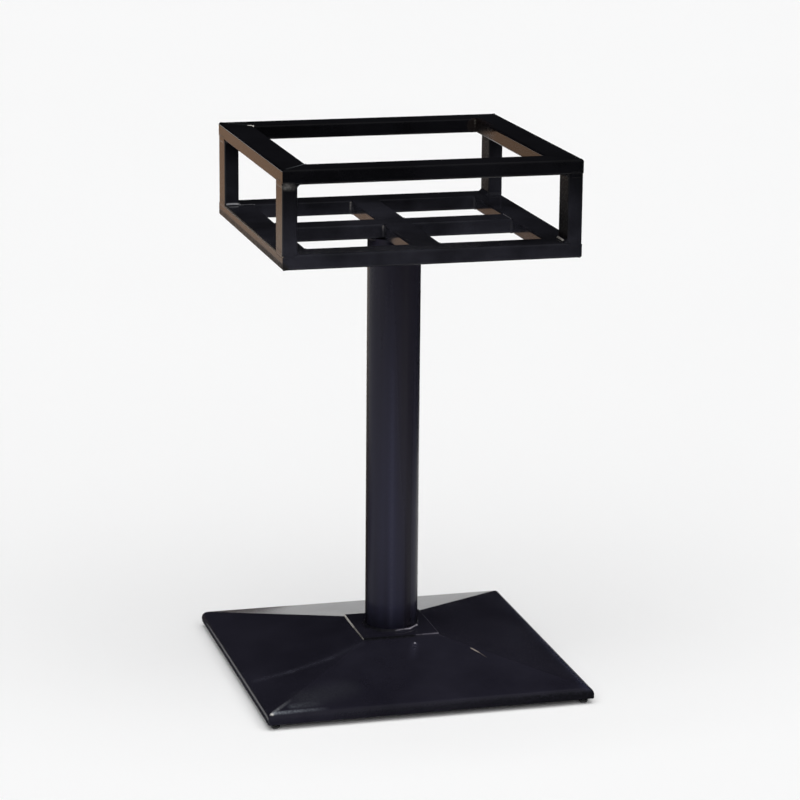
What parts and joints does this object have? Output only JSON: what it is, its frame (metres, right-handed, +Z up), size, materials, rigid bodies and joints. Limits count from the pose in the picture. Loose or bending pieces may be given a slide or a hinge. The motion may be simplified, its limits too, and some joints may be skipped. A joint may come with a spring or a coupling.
{
  "type": "table base",
  "caption": "Black steel pedestal table base: a square pyramid foot on levelling feet, a round column and an open cage of rectangular tube that carries the table top.",
  "frame": {"origin": "on the floor, under the centre of the column", "axes": "+Z up along the column, +X to the right of the front, +Y to the back"},
  "size_m": [0.45, 0.45, 0.74],
  "materials": {
    "black_paint": "satin black paint on steel",
    "zinc_steel": "zinc plated screw",
    "black_nylon": "moulded nylon"
  },
  "bodies": {
    "base_and_frame": {"base_cover": "black_paint", "corner_plate_front_left": "black_paint", "corner_plate_front_right": "black_paint", "corner_plate_back_left": "black_paint", "corner_plate_back_right": "black_paint", "column_plate": "black_paint", "column_tube": "black_paint", "column_foot_weld": "black_paint", "bottom_rail_front": "black_paint", "bottom_rail_back": "black_paint", "bottom_rail_left": "black_paint", "bottom_rail_right": "black_paint", "cross_rail_side_to_side": "black_paint", "cross_rail_front": "black_paint", "cross_rail_back": "black_paint", "corner_post_front_left": "black_paint", "corner_post_front_right": "black_paint", "corner_post_back_left": "black_paint", "corner_post_back_right": "black_paint", "top_rail_front": "black_paint", "top_rail_back": "black_paint", "top_rail_left": "black_paint", "top_rail_right": "black_paint"},
    "pad_front_left": {"foot_pad_front_left": "black_nylon"},
    "stud_front_left": {"foot_stud_front_left": "zinc_steel"},
    "pad_front_right": {"foot_pad_front_right": "black_nylon"},
    "stud_front_right": {"foot_stud_front_right": "zinc_steel"},
    "pad_back_left": {"foot_pad_back_left": "black_nylon"},
    "stud_back_left": {"foot_stud_back_left": "zinc_steel"},
    "pad_back_right": {"foot_pad_back_right": "black_nylon"},
    "stud_back_right": {"foot_stud_back_right": "zinc_steel"}
  },
  "joints": [
    {"name": "height_front_left", "type": "slide", "parent": "base_and_frame", "child": "pad_front_left", "axis": [0, 0, 1], "range_m": [-0.004, 0.003]},
    {"name": "turn_front_left", "type": "hinge", "parent": "pad_front_left", "child": "stud_front_left", "pos_m": [-0.213, -0.213, 0.004], "axis": [0, 0, 1], "range_deg": [-1440, 1080]},
    {"name": "height_front_right", "type": "slide", "parent": "base_and_frame", "child": "pad_front_right", "axis": [0, 0, 1], "range_m": [-0.004, 0.003]},
    {"name": "turn_front_right", "type": "hinge", "parent": "pad_front_right", "child": "stud_front_right", "pos_m": [0.213, -0.213, 0.004], "axis": [0, 0, 1], "range_deg": [-1440, 1080]},
    {"name": "height_back_left", "type": "slide", "parent": "base_and_frame", "child": "pad_back_left", "axis": [0, 0, 1], "range_m": [-0.004, 0.003]},
    {"name": "turn_back_left", "type": "hinge", "parent": "pad_back_left", "child": "stud_back_left", "pos_m": [-0.213, 0.213, 0.004], "axis": [0, 0, 1], "range_deg": [-1440, 1080]},
    {"name": "height_back_right", "type": "slide", "parent": "base_and_frame", "child": "pad_back_right", "axis": [0, 0, 1], "range_m": [-0.004, 0.003]},
    {"name": "turn_back_right", "type": "hinge", "parent": "pad_back_right", "child": "stud_back_right", "pos_m": [0.213, 0.213, 0.004], "axis": [0, 0, 1], "range_deg": [-1440, 1080]}
  ],
  "couplings": [
    {"joint": "turn_front_left", "follows": "height_front_left", "rad_per_m": 6283.2},
    {"joint": "turn_front_right", "follows": "height_front_right", "rad_per_m": 6283.2},
    {"joint": "turn_back_left", "follows": "height_back_left", "rad_per_m": 6283.2},
    {"joint": "turn_back_right", "follows": "height_back_right", "rad_per_m": 6283.2}
  ]
}
